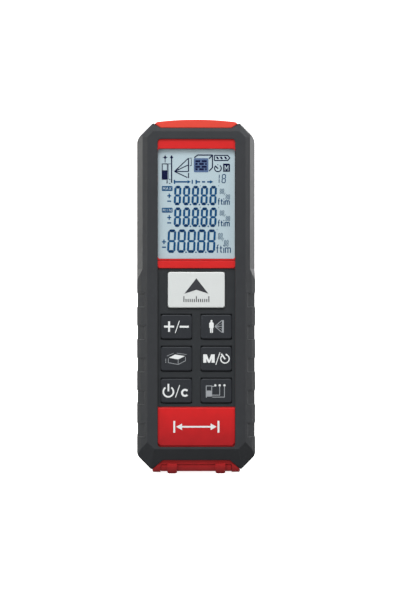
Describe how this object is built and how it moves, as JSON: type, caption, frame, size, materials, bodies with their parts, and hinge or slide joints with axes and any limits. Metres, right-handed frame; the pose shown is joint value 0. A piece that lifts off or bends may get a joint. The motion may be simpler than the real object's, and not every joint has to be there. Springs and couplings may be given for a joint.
{
  "type": "laser distance meter",
  "caption": "Handheld laser distance meter with a rubber-armoured case, tall display, keypad, red end caps, flip-out end piece and rear battery door.",
  "frame": {"origin": "middle of the footprint, on the surface the meter stands on with its end piece folded", "axes": "+Z along the case towards the laser end, -Y the way the display faces, +X to the user's right"},
  "size_m": [0.044, 0.028, 0.1315],
  "materials": {
    "rubber": "matte moulded elastomer",
    "seal_rubber": "soft black",
    "red_plastic": "semi-gloss moulded",
    "red_cap": "semi-gloss moulded",
    "dark_plastic": "fine-textured",
    "panel_plastic": "satin",
    "key_rubber": "silk matte",
    "white_key": "satin",
    "clear_window": "clear, hard-coated",
    "lcd_glass": "grey-blue reflective display",
    "light_guide": "milky",
    "black_plastic": "plain",
    "elastomer": "striped",
    "circuit_board": "solder mask",
    "steel": "nickel plated",
    "chassis_metal": "black anodised",
    "brass": "machined",
    "lens_glass": "coated",
    "filter_glass": "red filter",
    "cell_wrap": "printed sleeve, plain",
    "label_film": "plain silver film, no lettering"
  },
  "bodies": {
    "housing": {"front_overmould": "rubber", "rear_overmould": "rubber", "case_seal": "seal_rubber", "front_shell": "red_plastic", "name_panel": "red_plastic", "bottom_cap": "red_plastic", "top_cap": "red_cap", "rear_shell": "dark_plastic", "battery_tray": "dark_plastic", "key_panel": "panel_plastic", "display_window": "clear_window", "display_glass": "lcd_glass", "backlight": "light_guide", "display_holder": "black_plastic", "buzzer": "black_plastic", "board_chips": "black_plastic", "display_connector": "elastomer", "main_board": "circuit_board", "detector_board": "circuit_board", "board_screws": "steel", "case_screws": "steel", "key_domes": "steel", "shield_can": "steel", "hinge_pin": "steel", "friction_washers": "steel", "battery_contacts": "steel", "battery_springs": "steel", "detector": "steel", "optics_chassis": "chassis_metal", "laser_module": "brass", "tripod_insert": "brass", "collimator_lens": "lens_glass", "receiver_lens": "lens_glass", "laser_window": "lens_glass", "receiver_window": "lens_glass", "receiver_filter": "filter_glass", "battery_left": "cell_wrap", "battery_right": "cell_wrap", "rating_label": "label_film"},
    "end_piece": {"end_piece": "red_plastic"},
    "battery_door": {"battery_door": "dark_plastic", "door_pins": "steel", "door_seal": "seal_rubber"},
    "measure_key": {"measure_key": "white_key"},
    "plus_minus_key": {"plus_minus_key": "key_rubber"},
    "pythagoras_key": {"pythagoras_key": "key_rubber"},
    "area_key": {"area_key": "key_rubber"},
    "timer_key": {"timer_key": "key_rubber"},
    "power_key": {"power_key": "key_rubber"},
    "reference_key": {"reference_key": "key_rubber"}
  },
  "joints": [
    {"name": "measure_key_press", "type": "slide", "parent": "housing", "child": "measure_key", "axis": [0, 1, 0], "range_m": [0, 0.0006], "stiffness_N_per_m": 4000},
    {"name": "plus_minus_key_press", "type": "slide", "parent": "housing", "child": "plus_minus_key", "axis": [0, 1, 0], "range_m": [0, 0.0006], "stiffness_N_per_m": 2500},
    {"name": "pythagoras_key_press", "type": "slide", "parent": "housing", "child": "pythagoras_key", "axis": [0, 1, 0], "range_m": [0, 0.0006], "stiffness_N_per_m": 2500},
    {"name": "area_key_press", "type": "slide", "parent": "housing", "child": "area_key", "axis": [0, 1, 0], "range_m": [0, 0.0006], "stiffness_N_per_m": 2500},
    {"name": "timer_key_press", "type": "slide", "parent": "housing", "child": "timer_key", "axis": [0, 1, 0], "range_m": [0, 0.0006], "stiffness_N_per_m": 2500},
    {"name": "power_key_press", "type": "slide", "parent": "housing", "child": "power_key", "axis": [0, 1, 0], "range_m": [0, 0.0006], "stiffness_N_per_m": 2500},
    {"name": "reference_key_press", "type": "slide", "parent": "housing", "child": "reference_key", "axis": [0, 1, 0], "range_m": [0, 0.0006], "stiffness_N_per_m": 2500},
    {"name": "end_piece_hinge", "type": "hinge", "parent": "housing", "child": "end_piece", "pos_m": [0, 0.0096, 0.002], "axis": [1, 0, 0], "range_deg": [0, 180]},
    {"name": "battery_door_hinge", "type": "hinge", "parent": "housing", "child": "battery_door", "pos_m": [0, 0.0122, 0.0124], "axis": [-1, 0, 0], "range_deg": [0, 90]}
  ]
}
